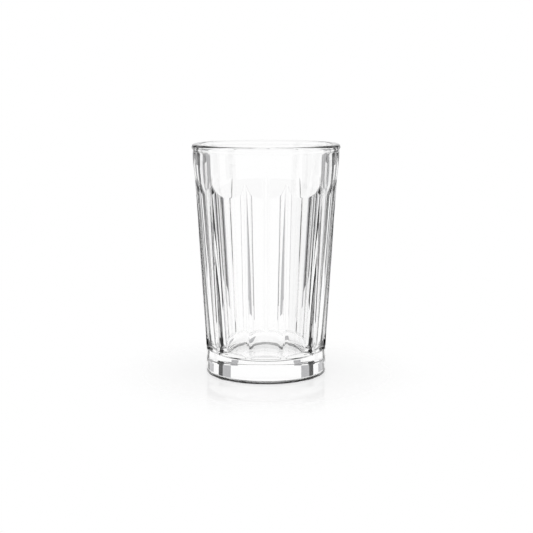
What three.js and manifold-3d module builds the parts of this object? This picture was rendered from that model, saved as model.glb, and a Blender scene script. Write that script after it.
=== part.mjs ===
// Highball glass: one piece of pressed glass with ribbed flat panels, a round foot and a beaded rim.
// Millimetres, +Z up, standing on z = 0 with its axis on the origin, front towards -Y.
import * as THREE from 'three';
import { mergeVertices } from 'three/addons/utils/BufferGeometryUtils.js';
import Module from 'manifold-3d';

// Overall
const HEIGHT = 118;
const RIM_RADIUS = 37.75;
const FOOT_RADIUS = 31;

// Rim bead and the plain band under it
const BEAD_HEIGHT = 3.2;
const BEAD_BULGE = 1.2;
const BEAD_PROUD = 0.55;
const BAND_SWELL = 0.1;
const BAND_SWELL_DROP = 9;

// Foot of the band: it leaves the flats in an S-curve and swallows the ribs at its knee
const BAND_FOOT_DROP = 25;
const BAND_LOWER_DROP = 24.6;
const BAND_UPPER_DROP = 21.5;
const KNEE_DROP = 15.6;
const KNEE_INSET = 1.3;
const KNEE_RUN = 3;
const KNEE_FLARE = 0.36;

// Flat panels round the body, one facing the front, with a raised rib on each ridge between them
const PANEL_COUNT = 11;
const RIDGE_FOOT_INSET = 0.2;
const RIDGE_TOP_INSET = 2.35;
const RIDGE_TOP_DROP = 26;
const RIB_HEIGHT = 0.25;
const RIB_WIDTH = 1;

// Foot
const FOOT_HEIGHT = 13.2;
const FOOT_CORNER = 1;
const SHOULDER_RISE = 2.6;
const SHOULDER_DEPTH = 2;
const BEARING_WIDTH = 2.9;
const RECESS_DEPTH = 1;
const RECESS_SLOPE_WIDTH = 1.6;

// Inside, left by the plunger
const RIM_WALL = 4.1;
const BASE_WALL = 7.8;
const FLOOR_THICKNESS = 9;
const FLOOR_FILLET = 5;
const LIP_ROUND = 1.5;

// Fineness of the round surfaces: facets over one panel, points along one arc
const FACETS_PER_PANEL = 8;
const ARC_POINTS = 4;

// Sizes that follow from these
const panelAngle = (2 * Math.PI) / PANEL_COUNT;
const bandRadius = RIM_RADIUS - BEAD_PROUD;
const ridgeTop = HEIGHT - RIDGE_TOP_DROP;
const ridgeTopRadius = RIM_RADIUS - RIDGE_TOP_INSET;
const ridgeFootRadius = FOOT_RADIUS - RIDGE_FOOT_INSET;
const ridgeSlope = (ridgeTopRadius - ridgeFootRadius) / (ridgeTop - FOOT_HEIGHT);
const kneeHeight = HEIGHT - KNEE_DROP;
const kneeRadius = RIM_RADIUS - KNEE_INSET;
const floorHeight = RECESS_DEPTH + FLOOR_THICKNESS;
const cavityRimRadius = bandRadius - RIM_WALL;
const cavityFloorRadius = FOOT_RADIUS - BASE_WALL;
const barrelBottom = (FOOT_CORNER + FOOT_HEIGHT) / 2;
const clearance = 2;
const barrelTop = kneeHeight + clearance;

const wasm = await Module();
wasm.setup();

const ridgeRadius = (z) => ridgeFootRadius + (z - FOOT_HEIGHT) * ridgeSlope;
const apothem = (z) => ridgeRadius(z) * Math.cos(panelAngle / 2);
const panelHalfWidth = (z) => ridgeRadius(z) * Math.sin(panelAngle / 2) - RIB_WIDTH / 2;

// Three.js geometry to a closed solid and back
function toSolid(geometry) {
  const bare = geometry.index ? geometry.toNonIndexed() : geometry.clone();
  bare.deleteAttribute('normal');
  bare.deleteAttribute('uv');
  const merged = mergeVertices(bare, 1e-5);
  const mesh = new wasm.Mesh({
    numProp: 3,
    vertProperties: Float32Array.from(merged.attributes.position.array),
    triVerts: Uint32Array.from(merged.index.array),
  });
  mesh.merge();
  return new wasm.Manifold(mesh);
}

function toGeometry(solid) {
  const mesh = solid.getMesh();
  const geometry = new THREE.BufferGeometry();
  const position = new THREE.BufferAttribute(Float32Array.from(mesh.vertProperties), 3);
  geometry.setAttribute('position', position);
  geometry.setIndex(new THREE.BufferAttribute(Uint32Array.from(mesh.triVerts), 1));
  const flat = geometry.toNonIndexed();
  flat.computeVertexNormals();
  return flat;
}

// Turns a path of (radius, height) points that starts and ends on the axis into a solid
function turned(path) {
  const points = path.getPoints(ARC_POINTS);
  const geometry = new THREE.LatheGeometry(points, PANEL_COUNT * FACETS_PER_PANEL);
  geometry.rotateX(Math.PI / 2);
  return toSolid(geometry);
}

// Barrel: cone over the ribs, up to inside the band
function barrelPath() {
  const path = new THREE.Path();
  path.moveTo(0, barrelBottom);
  path.lineTo(ridgeRadius(barrelBottom) + RIB_HEIGHT, barrelBottom);
  path.lineTo(ridgeRadius(barrelTop) + RIB_HEIGHT, barrelTop);
  path.lineTo(0, barrelTop);
  return path;
}

// Band: S-curve off the flats, slow flare, bead and the full rim disc
function bandPath() {
  const start = HEIGHT - BAND_FOOT_DROP;
  const lower = HEIGHT - BAND_LOWER_DROP;
  const upper = HEIGHT - BAND_UPPER_DROP;
  const kneeSlope = KNEE_FLARE / KNEE_RUN;
  const beadCentre = RIM_RADIUS - BEAD_BULGE;
  const beadStart = -Math.acos((BEAD_BULGE - BEAD_PROUD) / BEAD_BULGE);
  const path = new THREE.Path();
  path.moveTo(0, start);
  path.lineTo(apothem(start), start);
  path.bezierCurveTo(
    apothem(lower), lower,
    kneeRadius - (kneeHeight - upper) * kneeSlope, upper,
    kneeRadius, kneeHeight,
  );
  path.bezierCurveTo(
    kneeRadius + KNEE_FLARE, kneeHeight + KNEE_RUN,
    bandRadius + BAND_SWELL, HEIGHT - BAND_SWELL_DROP,
    bandRadius, HEIGHT - BEAD_HEIGHT,
  );
  path.absellipse(
    beadCentre, HEIGHT - BEAD_HEIGHT / 2, BEAD_BULGE, BEAD_HEIGHT / 2, beadStart, Math.PI / 2,
  );
  path.lineTo(0, HEIGHT);
  return path;
}

// Foot: bearing ring round a shallow recess, rounded lower corner, sloping shoulder
function footPath() {
  const bearingInner = FOOT_RADIUS - FOOT_CORNER - BEARING_WIDTH;
  const path = new THREE.Path();
  path.moveTo(0, RECESS_DEPTH);
  path.lineTo(bearingInner - RECESS_SLOPE_WIDTH, RECESS_DEPTH);
  path.lineTo(bearingInner, 0);
  path.lineTo(FOOT_RADIUS - FOOT_CORNER, 0);
  path.absarc(FOOT_RADIUS - FOOT_CORNER, FOOT_CORNER, FOOT_CORNER, -Math.PI / 2, 0);
  path.lineTo(FOOT_RADIUS, FOOT_HEIGHT);
  path.lineTo(FOOT_RADIUS - SHOULDER_DEPTH, FOOT_HEIGHT + SHOULDER_RISE);
  path.lineTo(0, FOOT_HEIGHT + SHOULDER_RISE);
  return path;
}

// Plunger: flat floor with a fillet, conical wall, rounded lip, clear above the rim
function plungerPath() {
  const slope = (cavityRimRadius - cavityFloorRadius) / (HEIGHT - floorHeight);
  const filletTop = floorHeight + FLOOR_FILLET;
  const wallAt = (z) => cavityFloorRadius + (z - floorHeight) * slope;
  const filletCentre = wallAt(filletTop) - FLOOR_FILLET;
  const lipStart = HEIGHT - LIP_ROUND;
  const path = new THREE.Path();
  path.moveTo(0, floorHeight);
  path.lineTo(filletCentre, floorHeight);
  path.absarc(filletCentre, filletTop, FLOOR_FILLET, -Math.PI / 2, 0);
  path.lineTo(wallAt(lipStart), lipStart);
  path.absarc(wallAt(lipStart) + LIP_ROUND, lipStart, LIP_ROUND, Math.PI, Math.PI / 2, true);
  path.lineTo(wallAt(lipStart) + LIP_ROUND, HEIGHT + clearance);
  path.lineTo(0, HEIGHT + clearance);
  return path;
}

// Panel cutter: a plate whose inner face lies on the panel's flat, between two ribs
function panelCutter(angle) {
  const bottom = barrelBottom - clearance;
  const top = barrelTop + clearance;
  const outline = new THREE.Shape();
  outline.moveTo(-panelHalfWidth(bottom), bottom);
  outline.lineTo(panelHalfWidth(bottom), bottom);
  outline.lineTo(panelHalfWidth(top), top);
  outline.lineTo(-panelHalfWidth(top), top);
  const geometry = new THREE.ExtrudeGeometry(outline, {
    depth: RIM_RADIUS - apothem(0),
    bevelEnabled: false,
  });
  geometry.rotateX(Math.PI / 2);
  const lean = ridgeSlope * Math.cos(panelAngle / 2);
  geometry.applyMatrix4(new THREE.Matrix4().makeShear(0, 0, 0, 0, 0, -lean));
  geometry.translate(0, -apothem(0), 0);
  geometry.rotateZ(angle);
  return toSolid(geometry);
}

let glass = turned(barrelPath());
for (let i = 0; i < PANEL_COUNT; i += 1) {
  glass = glass.subtract(panelCutter(i * panelAngle));
}
glass = glass.add(turned(bandPath())).add(turned(footPath()));
glass = glass.subtract(turned(plungerPath()));

const tumbler = new THREE.Mesh(
  toGeometry(glass),
  new THREE.MeshStandardMaterial({
    color: 0xeef4f2,
    roughness: 0.03,
    metalness: 0,
    transparent: true,
    opacity: 0.35,
  }),
);
tumbler.name = 'tumbler';

const group = new THREE.Group();
group.name = 'highball_glass';
group.add(tumbler);

export default group;
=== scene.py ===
# %% [markdown]
# # A panelled highball glass
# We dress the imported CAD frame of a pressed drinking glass. The frame fixes where
# everything is: metres, +Z up, the glass standing on z = 0 with its axis on the
# origin and the photograph's camera on the -Y side. A glass is all about light that
# bends, so most of the lesson goes into one exact surface and into what surrounds it.

# %% Load the frame
import math

import bpy
import numpy as np
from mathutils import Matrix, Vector


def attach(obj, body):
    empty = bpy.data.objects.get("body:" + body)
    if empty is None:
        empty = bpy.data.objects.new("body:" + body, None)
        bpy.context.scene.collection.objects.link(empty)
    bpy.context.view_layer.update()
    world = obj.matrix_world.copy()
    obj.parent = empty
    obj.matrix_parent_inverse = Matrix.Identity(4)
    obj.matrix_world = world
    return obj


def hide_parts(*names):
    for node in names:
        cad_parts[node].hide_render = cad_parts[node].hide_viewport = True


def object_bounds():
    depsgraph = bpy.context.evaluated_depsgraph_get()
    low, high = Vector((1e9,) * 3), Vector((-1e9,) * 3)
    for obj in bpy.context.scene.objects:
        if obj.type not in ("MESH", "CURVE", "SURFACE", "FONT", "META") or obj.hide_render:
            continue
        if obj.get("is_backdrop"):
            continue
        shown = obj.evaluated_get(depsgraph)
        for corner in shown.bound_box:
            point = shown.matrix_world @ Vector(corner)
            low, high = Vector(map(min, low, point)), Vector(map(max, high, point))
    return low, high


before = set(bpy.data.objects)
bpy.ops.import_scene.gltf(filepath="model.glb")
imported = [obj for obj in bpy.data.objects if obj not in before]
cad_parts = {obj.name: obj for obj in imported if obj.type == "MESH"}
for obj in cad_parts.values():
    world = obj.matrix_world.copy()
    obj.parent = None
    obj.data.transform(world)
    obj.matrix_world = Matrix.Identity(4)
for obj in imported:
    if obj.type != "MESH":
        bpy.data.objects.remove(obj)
cad_low, cad_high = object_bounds()
MM = 0.001
print("frame nodes:", sorted(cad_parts))
print("box (mm):", [round(v / MM, 2) for v in cad_high - cad_low])

# %% [markdown]
# ## Sizes of the glass
# The driving sizes repeat those of the CAD model, in millimetres. Overall height and
# rim come from the frame itself, so that the dressed glass can't outgrow it. One value
# belongs to the look alone: the slope at which the sides of a rib run out, which is
# gentle on a fire-polished glass.

# %% Driving sizes in millimetres
HEIGHT = cad_high.z / MM
RIM_RADIUS = (cad_high.y - cad_low.y) / 2 / MM
FOOT_RADIUS = 31.0
BEAD_HEIGHT, BEAD_BULGE, BEAD_PROUD = 3.2, 1.2, 0.55
BAND_SWELL, BAND_SWELL_DROP = 0.1, 9.0
BAND_FOOT_DROP, BAND_LOWER_DROP, BAND_UPPER_DROP = 25.0, 24.6, 21.5
KNEE_DROP, KNEE_INSET, KNEE_RUN, KNEE_FLARE = 15.6, 1.3, 3.0, 0.36
PANEL_COUNT = 11
RIDGE_FOOT_INSET, RIDGE_TOP_INSET, RIDGE_TOP_DROP = 0.2, 2.35, 26.0
RIB_HEIGHT, RIB_WIDTH, RIB_SLOPE = 0.25, 1.0, 0.43
FOOT_HEIGHT, FOOT_CORNER = 13.2, 1.0
SHOULDER_RISE, SHOULDER_DEPTH = 2.6, 2.0
BEARING_WIDTH, RECESS_DEPTH, RECESS_SLOPE_WIDTH = 2.9, 1.0, 1.6
RIM_WALL, BASE_WALL, FLOOR_THICKNESS, FLOOR_FILLET, LIP_ROUND = 4.1, 7.8, 9.0, 5.0, 1.5

half_panel = math.pi / PANEL_COUNT
band_radius = RIM_RADIUS - BEAD_PROUD
ridge_top = HEIGHT - RIDGE_TOP_DROP
ridge_top_radius = RIM_RADIUS - RIDGE_TOP_INSET
ridge_foot_radius = FOOT_RADIUS - RIDGE_FOOT_INSET
ridge_slope = (ridge_top_radius - ridge_foot_radius) / (ridge_top - FOOT_HEIGHT)
knee_height, knee_radius = HEIGHT - KNEE_DROP, RIM_RADIUS - KNEE_INSET
floor_height = RECESS_DEPTH + FLOOR_THICKNESS
cavity_rim_radius = band_radius - RIM_WALL
cavity_floor_radius = FOOT_RADIUS - BASE_WALL
print(f"height {HEIGHT:.1f} mm, rim {2 * RIM_RADIUS:.1f} mm, {PANEL_COUNT} panels")

# %% [markdown]
# ## Columns round the glass
# The surface is a grid: columns go round the axis, rows go along the profile from the
# middle of the underside, up the outside, over the rim and down the inside. A turned
# profile would do for a plain glass. Here the radius also depends on the angle, so we
# place the columns ourselves and crowd them at the ribs, where the surface turns.

# %% Columns
COLUMNS_PER_PANEL = 56
step = np.linspace(-1.0, 1.0, COLUMNS_PER_PANEL, endpoint=False)
across = half_panel * np.sin(0.5 * np.pi * step)
turn = np.concatenate([across + 2 * i * half_panel for i in range(PANEL_COUNT)])
phi = np.tile(across, PANEL_COUNT)
finest_step = np.diff(across).min() * RIM_RADIUS
print(f"columns: {turn.size}, finest step {finest_step:.3f} mm")

# %% [markdown]
# ## Soft edges
# Pressed glass is fire-polished: no edge is truly sharp. A soft maximum joins two
# surfaces with a small fillet, and a soft minimum rounds an outer edge. One number,
# the softness, sets how much, so each edge of the real glass gets its own.


# %% Soft maximum and minimum
def soft_max(a, b, softness):
    """Half the sum plus half the hypotenuse of the difference and the softness."""
    return 0.5 * (a + b + np.hypot(a - b, softness))


def soft_min(a, b, softness):
    """Half the sum minus half the hypotenuse of the difference and the softness."""
    return 0.5 * (a + b - np.hypot(a - b, softness))


print("where two surfaces cross at 1 mm, a softness of 0.2 mm gives",
      soft_max(1.0, 1.0, 0.2), "or", soft_min(1.0, 1.0, 0.2), "mm")

# %% [markdown]
# ## Flats and ridges
# The mould gives the body flat panels that lean out with height. Two neighbours meet
# in a ridge, which is a straight line from the foot to the band. The distance of a
# flat from the axis follows from the ridge, so one line drives them both.


# %% Flats and ridges
def ridge_at(z):
    """Radius of the sharp ridge between two flats: a straight line from foot to top."""
    return ridge_foot_radius + (z - FOOT_HEIGHT) * ridge_slope


def apothem_at(z):
    """Distance of a panel's flat from the axis: ridge radius times cosine of half a panel."""
    return ridge_at(z) * math.cos(half_panel)


print(f"flats {apothem_at(FOOT_HEIGHT):.1f} mm from the axis at the foot, "
      f"{apothem_at(ridge_top):.1f} mm at the top")

# %% [markdown]
# ## The plain band
# Above the panels the glass is round. The band leaves the flats in an S-curve, bends
# at a knee and flares slowly to the rim. Two cubic curves draw it, because they can
# start along the flat and pass through the knee without a kink.


# %% Band
def bezier(points, count=301):
    """Cubic Bezier curve: the four points weighted by the third-degree Bernstein terms."""
    t = np.linspace(0.0, 1.0, count)[:, None]
    weights = np.hstack([(1 - t) ** 3, 3 * t * (1 - t) ** 2, 3 * t ** 2 * (1 - t), t ** 3])
    return weights @ np.array(points)


UNDER_FLATS = 0.1
band_foot = HEIGHT - BAND_FOOT_DROP
band_lower = HEIGHT - BAND_LOWER_DROP
band_upper = HEIGHT - BAND_UPPER_DROP
knee_slope = KNEE_FLARE / KNEE_RUN
band_curve = np.vstack([
    bezier([
        (apothem_at(band_foot), band_foot),
        (apothem_at(band_lower), band_lower),
        (knee_radius - (knee_height - band_upper) * knee_slope, band_upper),
        (knee_radius, knee_height),
    ])[:-1],
    bezier([
        (knee_radius, knee_height),
        (knee_radius + KNEE_FLARE, knee_height + KNEE_RUN),
        (band_radius + BAND_SWELL, HEIGHT - BAND_SWELL_DROP),
        (band_radius, HEIGHT - BEAD_HEIGHT),
    ]),
])


def band_at(z):
    """Radius of the round band: the S-curve read at z, and a little under the flats below it."""
    on_curve = np.interp(z, band_curve[:, 1], band_curve[:, 0])
    return np.where(z > band_foot, on_curve, apothem_at(z) - UNDER_FLATS)


print(f"band from {band_foot:.1f} mm, knee at {knee_height:.1f} mm")

# %% [markdown]
# ## Outside of the body
# Four simple surfaces make the outside: the flats, a narrow rib on each ridge between
# two of them, the band, and the sloping shoulder of the foot. The outer one wins at
# each point. The band touches a flat first along the flat's middle, so its lower edge
# hangs in scallops: a point on every panel, and a fin where it swallows a rib. Cutting
# solids would give the same edges, but sharp, and the light would show it.

# %% Surface of the body
RIDGE_SOFT, RIB_SOFT, BAND_SOFT, SHOULDER_SOFT = 0.1, 0.08, 0.03, 0.2
FOOT_LIMIT_RISE = 1.0
NO_LIMIT = 1000.0


def outside_at(z, angle):
    """Radius at height z and angle from the panel's middle.

    Inner of this panel and its neighbour; raised to the rib, whose sides fall off with
    the distance from its edge; raised to the band and to the shoulder cone; and at the
    foot no wider than the foot.
    """
    apothem, crest = apothem_at(z), ridge_at(z) + RIB_HEIGHT
    neighbour = apothem / np.cos(2 * half_panel - np.abs(angle))
    flat = soft_min(apothem / np.cos(angle), neighbour, RIDGE_SOFT)
    off_rib = np.maximum((half_panel - np.abs(angle)) * crest - RIB_WIDTH / 2, 0)
    body = soft_max(flat, crest - RIB_SLOPE * off_rib, RIB_SOFT)
    body = soft_max(body, band_at(z), BAND_SOFT)
    shoulder = FOOT_RADIUS - (z - FOOT_HEIGHT) * SHOULDER_DEPTH / SHOULDER_RISE
    body = soft_max(body, shoulder, SHOULDER_SOFT)
    limit = np.where(z < FOOT_HEIGHT + FOOT_LIMIT_RISE, FOOT_RADIUS, NO_LIMIT)
    return soft_min(body, limit, SHOULDER_SOFT)


halfway = (FOOT_HEIGHT + ridge_top) / 2
print(f"halfway up: {float(outside_at(halfway, 0.0)):.2f} mm on a flat, "
      f"{float(outside_at(halfway, half_panel)):.2f} mm on a rib")

# %% [markdown]
# ## Rows where they are needed
# The long panels are straight in height, so a few rows carry them. The shoulder of the
# foot and the scallops of the band curve over a few millimetres and get many rows.

# %% Rows of the outside
SHOULDER_LEAD, BAND_LEAD = 0.6, 1.5
level = np.ones_like(phi)
# Each stop is a height and the number of rows from there up to the next stop
stops = [
    (FOOT_CORNER, 3),
    (FOOT_HEIGHT - SHOULDER_LEAD, 20),
    (FOOT_HEIGHT + 2 * SHOULDER_RISE, 4),
    (band_foot - BAND_LEAD, 70),
    (knee_height + KNEE_RUN, 10),
    (HEIGHT - BEAD_HEIGHT, 0),
]
rows = np.concatenate([
    np.linspace(low, high, count, endpoint=False)
    for (low, count), (high, _) in zip(stops, stops[1:])
])
outside_z = rows[:, None] * level
outside_r = outside_at(outside_z, phi[None, :])
print(f"rows on the outside: {len(rows)}, radius {outside_r.min():.2f} to {outside_r.max():.2f} mm")

# %% [markdown]
# ## Underside and rim
# The rest is turned: the same radius all round. The underside has a bearing ring
# round a shallow recess, and the rim is a round bead. Each stretch is a short list of
# radius and height, with its round parts as arcs.


# %% Underside and rim bead
def arc(centre_r, centre_z, radius_r, radius_z, start, end, count):
    """Points on an ellipse arc: centre plus the two radii times cosine and sine."""
    a = np.radians(np.linspace(start, end, count))
    return np.stack([centre_r + radius_r * np.cos(a), centre_z + radius_z * np.sin(a)], 1)


RECESS_RINGS, BEARING_RING = (8.0, 16.0, 22.0), 1.0
SLOPE_POINTS, CORNER_POINTS, BEAD_POINTS = 5, 8, 14
bearing_outer = FOOT_RADIUS - FOOT_CORNER
bearing_inner = bearing_outer - BEARING_WIDTH
recess_edge = bearing_inner - RECESS_SLOPE_WIDTH
ease = np.linspace(0.0, 1.0, SLOPE_POINTS)[:, None]
recess_slope = np.hstack([
    recess_edge + RECESS_SLOPE_WIDTH * ease,
    RECESS_DEPTH * (0.5 + 0.5 * np.cos(np.pi * ease)),
])
underside = np.concatenate([
    [[r, RECESS_DEPTH] for r in RECESS_RINGS],
    recess_slope,
    [[bearing_inner + BEARING_RING, 0.0]],
    arc(bearing_outer, FOOT_CORNER, FOOT_CORNER, FOOT_CORNER, -90, 0, CORNER_POINTS)[:-1],
])

bead_centre = RIM_RADIUS - BEAD_BULGE
bead_half = BEAD_HEIGHT / 2
bead_start = -math.degrees(math.acos((BEAD_BULGE - BEAD_PROUD) / BEAD_BULGE))
bead = arc(bead_centre, HEIGHT - bead_half, BEAD_BULGE, bead_half, bead_start, 90, BEAD_POINTS)
print("rows under the foot:", len(underside), "and on the bead:", len(bead))

# %% [markdown]
# ## Inside
# The plunger leaves a plain cone with a rounded lip above and a filleted floor below.
# It belongs to the same surface as the outside, because light is bent at both walls
# and a gap between two meshes would show as a dark seam.

# %% Inside
FLOOR_RINGS = (14.0, 7.0)
LIP_POINTS, WALL_POINTS, FILLET_POINTS = 8, 5, 10
cavity_slope = (cavity_rim_radius - cavity_floor_radius) / (HEIGHT - floor_height)
lip_z = HEIGHT - LIP_ROUND
lip_r = cavity_floor_radius + (lip_z - floor_height) * cavity_slope
lip = arc(lip_r + LIP_ROUND, lip_z, LIP_ROUND, LIP_ROUND, 90, 180, LIP_POINTS)
fillet_z = floor_height + FLOOR_FILLET
fillet_r = cavity_floor_radius + FLOOR_FILLET * cavity_slope
wall_z = np.linspace(lip_z, fillet_z, WALL_POINTS)[1:-1, None]
wall = np.hstack([cavity_floor_radius + (wall_z - floor_height) * cavity_slope, wall_z])
fillet = arc(fillet_r - FLOOR_FILLET, fillet_z, FLOOR_FILLET, FLOOR_FILLET, 0, -90, FILLET_POINTS)
inside = np.concatenate([lip, wall, fillet, [[r, floor_height] for r in FLOOR_RINGS]])
print("rows inside:", len(inside))

# %% [markdown]
# ## The mesh
# Rows and columns become one closed mesh. The two ends of the profile lie on the
# axis, so each gets a single point and a fan of triangles: a pole without a hole.


# %% Build the glass
def turned(profile):
    """The same radius and height at every column."""
    return profile[:, :1] * level, profile[:, 1:] * level


def grid_piece(name, radius, height, angle, first_pole, last_pole):
    """Closed surface: point = (r sin a, -r cos a, z) on the grid, with a fan at either end."""
    rows, columns = radius.shape
    points = np.stack([radius * np.sin(angle), -radius * np.cos(angle), height], 2).reshape(-1, 3)
    points = np.vstack([points, [[0, 0, first_pole], [0, 0, last_pole]]]) * MM
    row = np.arange(rows - 1)[:, None] * columns
    here = np.arange(columns)[None, :]
    there = (here + 1) % columns
    above = row + columns
    quads = np.stack([row + here, row + there, above + there, above + here], 2).reshape(-1, 4)
    top = (rows - 1) * columns
    ring, following = here[0], there[0]
    low_fan = np.stack([np.full(columns, rows * columns), following, ring], 1)
    high_fan = np.stack([np.full(columns, rows * columns + 1), top + ring, top + following], 1)
    mesh = bpy.data.meshes.new(name)
    mesh.from_pydata(points.tolist(), [], quads.tolist() + low_fan.tolist() + high_fan.tolist())
    mesh.polygons.foreach_set("use_smooth", np.ones(len(mesh.polygons), bool))
    mesh.update()
    piece = bpy.data.objects.new(name, mesh)
    bpy.context.scene.collection.objects.link(piece)
    return piece


stretches = [turned(underside), (outside_r, outside_z), turned(bead), turned(inside)]
glass = grid_piece(
    "pressed_glass",
    np.concatenate([s[0] for s in stretches]),
    np.concatenate([s[1] for s in stretches]),
    turn, RECESS_DEPTH, floor_height,
)
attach(glass, "root")
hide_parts("tumbler")
triangles = sum(len(p.vertices) - 2 for p in glass.data.polygons)
print("glass:", len(glass.data.vertices), "points,", triangles, "triangles")

# %% [markdown]
# ## Helpers for materials
# Colours are written as on a colour picker, in sRGB, and Blender calculates in linear
# light, so one function turns the first into the second. Another adds a node with its
# settings and links in one line, which keeps a material readable from top to bottom.


# %% Material helpers
def linear(code):
    """sRGB hex to linear: cube-like curve above the toe, a straight line below it."""
    c = np.array([int(code[i:i + 2], 16) for i in (1, 3, 5)]) / 255
    return (*np.where(c > 0.04045, ((c + 0.055) / 1.055) ** 2.4, c / 12.92), 1.0)


def add(tree, kind, settings=None, **links):
    """Adds a node, sets its properties and sockets, and links sockets by name or as _number."""
    node = tree.nodes.new(kind)
    for key, value in (settings or {}).items():
        if isinstance(key, int) or key in node.inputs:
            node.inputs[key].default_value = value
        else:
            setattr(node, key, value)
    for key, source in links.items():
        socket = int(key[1:]) if key.startswith("_") else key.replace("_", " ")
        tree.links.new(source, node.inputs[socket])
    return node


def new_material(name):
    """An empty node material and its tree."""
    material = bpy.data.materials.new(name)
    material.use_nodes = True
    material.node_tree.nodes.clear()
    return material, material.node_tree


print("the middle grey of a colour picker in linear light:", round(float(linear("#808080")[0]), 3))

# %% [markdown]
# ## Pressed soda-lime glass
# Clear tableware is soda-lime glass with an index of about 1.52. Pressing leaves a very
# slight waviness that the fire polish can't take out, less than a hundredth of a
# millimetre deep over about a centimetre. That swim in the highlights is what tells it
# from a perfect lens, so a weak bump carries it, and the same pattern gives a trace of
# haze.

# %% Glass material
GLASS_INDEX = 1.52
SWIM_SIZE, SWIM_DEPTH, SWIM_STRENGTH = 11.0, 0.015, 0.25
MOST_HAZE = 0.012

soda_lime, tree = new_material("pressed_soda_lime_glass")
place = add(tree, "ShaderNodeTexCoord")
swim = add(tree, "ShaderNodeTexNoise", {"Scale": 1 / (SWIM_SIZE * MM), "Detail": 1.0},
           Vector=place.outputs["Object"])
bump = add(tree, "ShaderNodeBump", {"Strength": SWIM_STRENGTH, "Distance": SWIM_DEPTH * MM},
           Height=swim.outputs["Fac"])
haze = add(tree, "ShaderNodeMapRange", {"To Min": 0.0, "To Max": MOST_HAZE},
           Value=swim.outputs["Fac"])
body = add(tree, "ShaderNodeBsdfPrincipled", {
    "Base Color": linear("#ffffff"), "IOR": GLASS_INDEX, "Transmission Weight": 1.0,
}, Roughness=haze.outputs["Result"], Normal=bump.outputs["Normal"])
add(tree, "ShaderNodeOutputMaterial", Surface=body.outputs["BSDF"])
glass.data.materials.append(soda_lime)
print("material:", soda_lime.name)

# %% [markdown]
# ## A white table
# The glass stands on a small round board of white acrylic, which mirrors it faintly.
# A large floor would show its far edge as a grey line, so the board fades out with
# distance and no edge of it shows against the white studio.

# %% Table
TABLE_RADIUS, TABLE_SIDES, TABLE_DROP = 300.0, 96, 0.05
ring = np.linspace(0, 2 * np.pi, TABLE_SIDES, endpoint=False)
table_points = np.stack([
    TABLE_RADIUS * np.sin(ring), -TABLE_RADIUS * np.cos(ring), np.full(TABLE_SIDES, -TABLE_DROP),
], 1) * MM
table_mesh = bpy.data.meshes.new("white_table")
table_mesh.from_pydata(table_points.tolist(), [], [list(range(TABLE_SIDES))])
table = bpy.data.objects.new("white_table", table_mesh)
bpy.context.scene.collection.objects.link(table)
print("table of", 2 * TABLE_RADIUS, "mm")

# %% [markdown]
# ## Polished white acrylic
# Acrylic is smooth and white to the eye, with a mirror that grows at a low angle. Its
# index is set above the usual 1.49 to match the strength of the mirror image. Part of
# its white is given as light of its own to the camera and to mirrored rays, which
# keeps it white and still leaves the shadow of the glass on it. For light that comes
# through the glass it is almost all white, and it ends just outside the foot: the foot
# then shows the studio behind it, as on a glass table, and not a grey board.

# %% Table material
FADE_START, FADE_END, FOOT_MARGIN = 45.0, 90.0, 1.0
OPEN_LIFT, GLASS_LIFT = 0.62, 0.95
ACRYLIC_INDEX, ACRYLIC_ROUGHNESS = 1.8, 0.04

acrylic, tree = new_material("white_acrylic")
ray = add(tree, "ShaderNodeLightPath").outputs
place = add(tree, "ShaderNodeTexCoord")
reach = add(tree, "ShaderNodeVectorMath", {"operation": "LENGTH"}, Vector=place.outputs["Object"])
fade = add(tree, "ShaderNodeMapRange", {
    "interpolation_type": "SMOOTHSTEP", "From Min": FADE_START * MM, "From Max": FADE_END * MM,
}, Value=reach.outputs["Value"])
foot_edge = (FOOT_RADIUS + FOOT_MARGIN) * MM
past_foot = add(tree, "ShaderNodeMath", {"operation": "GREATER_THAN", 1: foot_edge},
                _0=reach.outputs["Value"])
through = add(tree, "ShaderNodeMath", {"operation": "MULTIPLY"},
              _0=past_foot.outputs[0], _1=ray["Is Transmission Ray"])
gone = add(tree, "ShaderNodeMath", {"operation": "MAXIMUM"},
           _0=fade.outputs["Result"], _1=through.outputs[0])
in_open = add(tree, "ShaderNodeMath", {"operation": "MAXIMUM"},
              _0=ray["Is Camera Ray"], _1=ray["Is Glossy Ray"])
open_lift = add(tree, "ShaderNodeMath", {"operation": "MULTIPLY", 1: OPEN_LIFT},
                _0=in_open.outputs[0])
glass_lift = add(tree, "ShaderNodeMath", {"operation": "MULTIPLY", 1: GLASS_LIFT},
                 _0=ray["Is Transmission Ray"])
lift = add(tree, "ShaderNodeMath", {"operation": "MAXIMUM"},
           _0=open_lift.outputs[0], _1=glass_lift.outputs[0])
board = add(tree, "ShaderNodeBsdfPrincipled", {
    "Base Color": linear("#ffffff"), "Roughness": ACRYLIC_ROUGHNESS, "IOR": ACRYLIC_INDEX,
})
white = add(tree, "ShaderNodeEmission", {"Strength": 1.0})
lit = add(tree, "ShaderNodeMixShader", {},
          _0=lift.outputs[0], _1=board.outputs["BSDF"], _2=white.outputs["Emission"])
away = add(tree, "ShaderNodeBsdfTransparent")
blend = add(tree, "ShaderNodeMixShader", {},
            _0=gone.outputs[0], _1=lit.outputs["Shader"], _2=away.outputs["BSDF"])
add(tree, "ShaderNodeOutputMaterial", Surface=blend.outputs["Shader"])
table_mesh.materials.append(acrylic)
table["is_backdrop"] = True
print("material:", acrylic.name)

# %% [markdown]
# ## Bright field
# Clear glass on white is drawn by its dark edges. Lamps would only add highlights that
# are lost on white, so the light is a plain white studio all round, and what draws the
# glass is card in two shades, black and grey.

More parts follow.
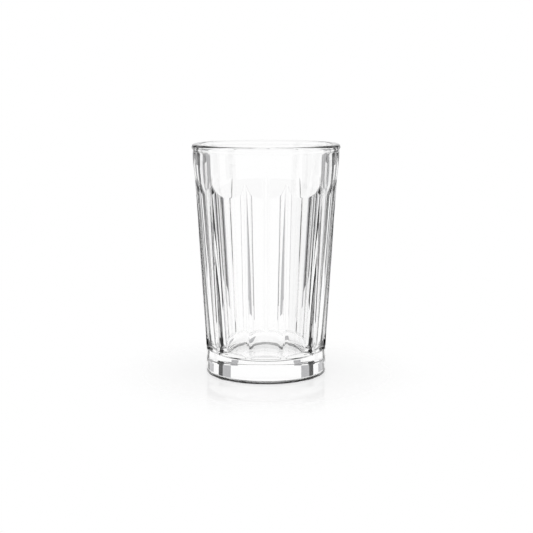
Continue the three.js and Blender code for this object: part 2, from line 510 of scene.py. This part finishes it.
# %% White studio and card papers
world = bpy.data.worlds.new("white_studio")
bpy.context.scene.world = world
world.use_nodes = True
world.node_tree.nodes["Background"].inputs["Color"].default_value = linear("#ffffff")
world.node_tree.nodes["Background"].inputs["Strength"].default_value = 1.0

PAPERS = {}
for shade, code in (("black", "#161617"), ("grey", "#b0b0b2")):
    PAPERS[shade], tree = new_material(shade + "_card")
    card_body = add(tree, "ShaderNodeBsdfDiffuse", {"Color": linear(code)})
    add(tree, "ShaderNodeOutputMaterial", Surface=card_body.outputs["BSDF"])
print("papers:", sorted(PAPERS))

# %% [markdown]
# ## Dark cards out of the picture
# The cards stand a metre away, most of them behind the glass on the left and on the
# right. Only light that the glass bends strongly comes from them, so ribs and walls
# show as dark lines and everything else stays clear. The black pair behind the glass
# narrows upwards and turns grey at its inner edge, which keeps the band lighter than
# the body. A dark ring overhead draws the level edges in the same way: rim, floor and
# foot. Angles are in degrees, seen from the middle of the glass.

# %% Cards
CARD_DISTANCE = 1000.0
FEWEST_POINTS, DEGREES_PER_POINT = 5, 4


def studio_card(name, shade, start, end, low, high):
    """A card bent round the axis: start to end degrees right of +Y, low to high above level."""
    count = FEWEST_POINTS + (end - start) // DEGREES_PER_POINT
    a = np.radians(np.linspace(start, end, count))
    edges = HEIGHT / 2 + CARD_DISTANCE * np.tan(np.radians([low, high]))
    x, y = CARD_DISTANCE * np.sin(a), CARD_DISTANCE * np.cos(a)
    points = np.concatenate([np.stack([x, y, np.full(count, z)], 1) for z in edges]) * MM
    faces = [[i, i + 1, i + count + 1, i + count] for i in range(count - 1)]
    mesh = bpy.data.meshes.new(name)
    mesh.from_pydata(points.tolist(), [], faces)
    mesh.materials.append(PAPERS[shade])
    card = bpy.data.objects.new(name, mesh)
    bpy.context.scene.collection.objects.link(card)
    card.visible_camera = card.visible_diffuse = card.visible_shadow = False
    card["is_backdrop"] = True
    return card


# Shade, azimuth from and to, elevation from and to; each pair has a mirror image on the left
PAIRS = {
    "front": ("black", 24, 40, -15, -6),
    "mid": ("black", 31, 40, -6, 9),
    "upper": ("black", 34, 40, 9, 20),
    "soft": ("grey", 25, 34, 9, 20),
    "inner": ("grey", 18, 24, -16, 10),
    "side": ("grey", 50, 63, -14, 12),
    "far": ("black", 63, 74, -20, 12),
}
SINGLES = {
    "rear_right": ("black", 105, 116, -26, 6),
    "rear_left": ("black", -127, -115, -14, 12),
    "low_left": ("grey", -82, -70, -45, -20),
    "low_front": ("grey", -20, -8, -50, -30),
    "overhead": ("black", -180, 180, 33, 75),
}
cards = []
for name, (shade, start, end, low, high) in PAIRS.items():
    cards.append(studio_card(name + "_right", shade, start, end, low, high))
    cards.append(studio_card(name + "_left", shade, -end, -start, low, high))
cards += [studio_card(name, *spread) for name, spread in SINGLES.items()]
print("cards:", len(cards))

# %% [markdown]
# ## Camera
# Position and lens were worked out from the photograph: the rim and foot ellipses give
# the height of the eye, and the two outlines give the distance.

# %% Camera
# Eye and aim are points of the frame, in metres
EYE, AIM = Vector((0, -0.5994, 0.1525)), Vector((0, 0, 0.0548))
FOCAL_PIXELS, PICTURE_PIXELS, SHIFT_PIXELS = 1177.6, 533, 0.5
SENSOR_WIDTH = 36.0
lens = bpy.data.cameras.new("camera")
lens.sensor_width = SENSOR_WIDTH
lens.lens = SENSOR_WIDTH * FOCAL_PIXELS / PICTURE_PIXELS
lens.shift_x = SHIFT_PIXELS / PICTURE_PIXELS
camera = bpy.data.objects.new("camera", lens)
camera.location = EYE
camera.rotation_euler = (AIM - EYE).to_track_quat("-Z", "Y").to_euler()
bpy.context.scene.collection.objects.link(camera)
bpy.context.scene.camera = camera
bpy.context.scene.view_settings.view_transform = "Standard"
print("camera lens:", round(lens.lens, 1), "mm")

# %% [markdown]
# ## Measure the result
# The dressed glass should fill the box of its CAD model and not pass it, so its box is
# printed here, to read beside the CAD box printed at the start.

# %% Size of the dressed glass
low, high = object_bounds()
print("visual box (mm):", [round(v / MM, 2) for v in high - low])
